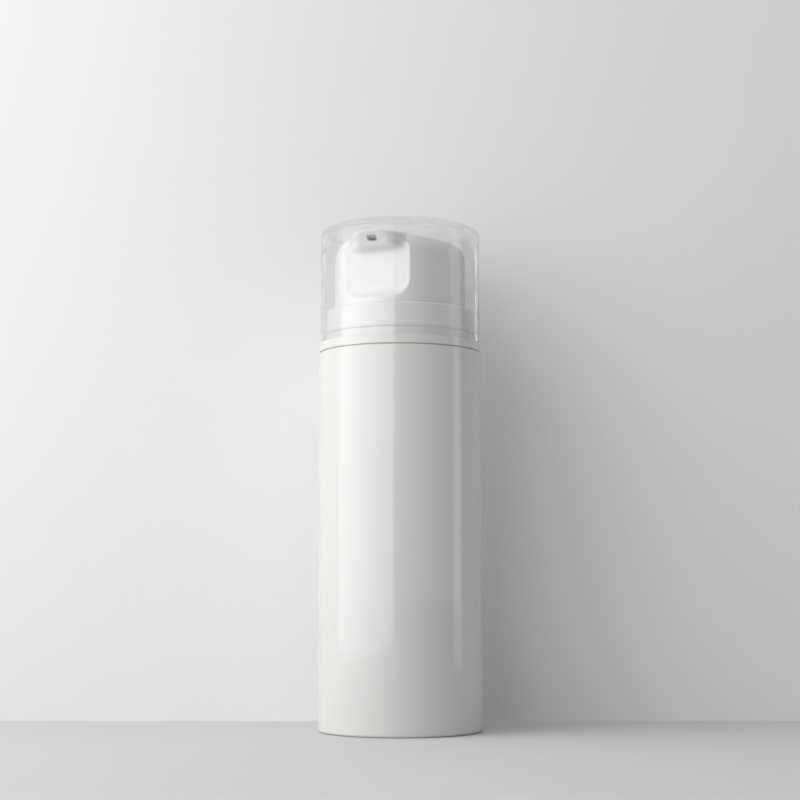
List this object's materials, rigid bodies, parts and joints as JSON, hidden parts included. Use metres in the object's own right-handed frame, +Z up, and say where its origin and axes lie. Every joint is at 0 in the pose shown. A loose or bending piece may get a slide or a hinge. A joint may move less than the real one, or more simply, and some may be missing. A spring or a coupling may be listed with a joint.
{
  "type": "airless pump bottle",
  "caption": "Cylindrical airless dispenser: white barrel with rising follower, sprung pump head with a flat front and beak nozzle, and a clear push-on overcap.",
  "frame": {"origin": "centre of the resting face under the barrel", "axes": "+Z up along the barrel; the nozzle points along -Y"},
  "size_m": [0.046, 0.046, 0.1412],
  "materials": {
    "barrel": "glossy warm white polypropylene",
    "pump": "satin white polypropylene",
    "inner": "natural polypropylene",
    "seal": "natural polyethylene",
    "gasket": "soft foamed liner",
    "steel": "bright stainless steel",
    "clear": "clear polished plastic"
  },
  "bodies": {
    "bottle": {"bottle_body": "barrel", "base_disc": "barrel", "neck_gasket": "gasket", "pump_housing": "inner", "housing_cap": "inner", "inlet_seat": "inner", "ball_cage": "inner", "return_spring": "steel", "snap_closure": "inner", "shoulder_ring": "barrel", "pump_collar": "pump"},
    "stem": {"stem": "inner", "stem_plug": "inner"},
    "head": {"actuator_shell": "pump", "actuator_core": "inner"},
    "pump_piston": {"pump_piston": "seal"},
    "inlet_ball": {"inlet_ball": "steel"},
    "follower": {"follower_piston": "seal"},
    "overcap": {"overcap": "clear"}
  },
  "joints": [
    {"name": "head_press", "type": "slide", "parent": "bottle", "child": "stem", "axis": [0, 0, -1], "range_m": [0, 0.006], "stiffness_N_per_m": 800, "springref_m": -0.0075, "deforming": ["return_spring"]},
    {"name": "head_turn", "type": "hinge", "parent": "stem", "child": "head", "pos_m": [0, 0, 0.128], "axis": [0, 0, 1], "continuous": true},
    {"name": "piston_lag", "type": "slide", "parent": "stem", "child": "pump_piston", "axis": [0, 0, 1], "range_m": [0, 0.0008]},
    {"name": "ball_lift", "type": "slide", "parent": "bottle", "child": "inlet_ball", "axis": [0, 0, 1], "range_m": [0, 0.0012]},
    {"name": "follower_rise", "type": "slide", "parent": "bottle", "child": "follower", "axis": [0, 0, 1], "range_m": [0, 0.08]},
    {"name": "cap_lift", "type": "slide", "parent": "bottle", "child": "overcap", "axis": [0, 0, 1], "range_m": [0, 0.036]}
  ]
}
